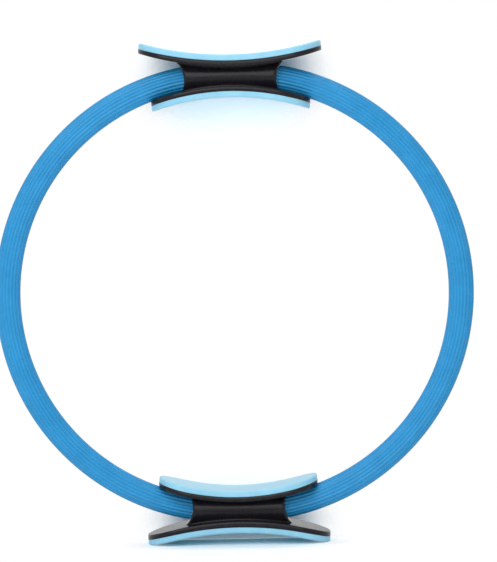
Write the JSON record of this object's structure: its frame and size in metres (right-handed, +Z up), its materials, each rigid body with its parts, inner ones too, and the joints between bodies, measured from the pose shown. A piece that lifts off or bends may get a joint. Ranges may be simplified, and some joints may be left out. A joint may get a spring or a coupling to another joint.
{
  "type": "pilates ring",
  "caption": "Springy exercise ring of ribbed tube with padded double-sided grips at top and bottom, squeezed between hands, knees or ankles.",
  "frame": {"origin": "on the floor, under the middle of the lower grip", "axes": "+X to the right across the ring, +Y through the ring away from the viewer, +Z up from the lower grip to the upper grip"},
  "size_m": [0.38, 0.055, 0.398],
  "materials": {
    "black_plastic": "satin",
    "blue_foam": "matte",
    "blue_rubber": "satin",
    "dark_composite": "matte",
    "zinc_steel": "satin"
  },
  "bodies": {
    "lower_grip": {"lower_outer_shell": "black_plastic", "lower_inner_shell": "black_plastic", "lower_outer_pad": "blue_foam", "lower_inner_pad": "blue_foam", "lower_shell_screws": "zinc_steel", "lower_core_pins": "zinc_steel", "left_sleeve": "blue_rubber", "right_sleeve": "blue_rubber", "left_core_strip": "dark_composite", "right_core_strip": "dark_composite"},
    "upper_grip": {"upper_outer_shell": "black_plastic", "upper_inner_shell": "black_plastic", "upper_outer_pad": "blue_foam", "upper_inner_pad": "blue_foam", "upper_shell_screws": "zinc_steel", "upper_core_pins": "zinc_steel"}
  },
  "joints": [
    {"name": "squeeze", "type": "slide", "parent": "lower_grip", "child": "upper_grip", "axis": [0, 0, 1], "range_m": [-0.09, 0.03], "stiffness_N_per_m": 1400, "deforming": ["left_sleeve", "right_sleeve", "left_core_strip", "right_core_strip"]}
  ]
}
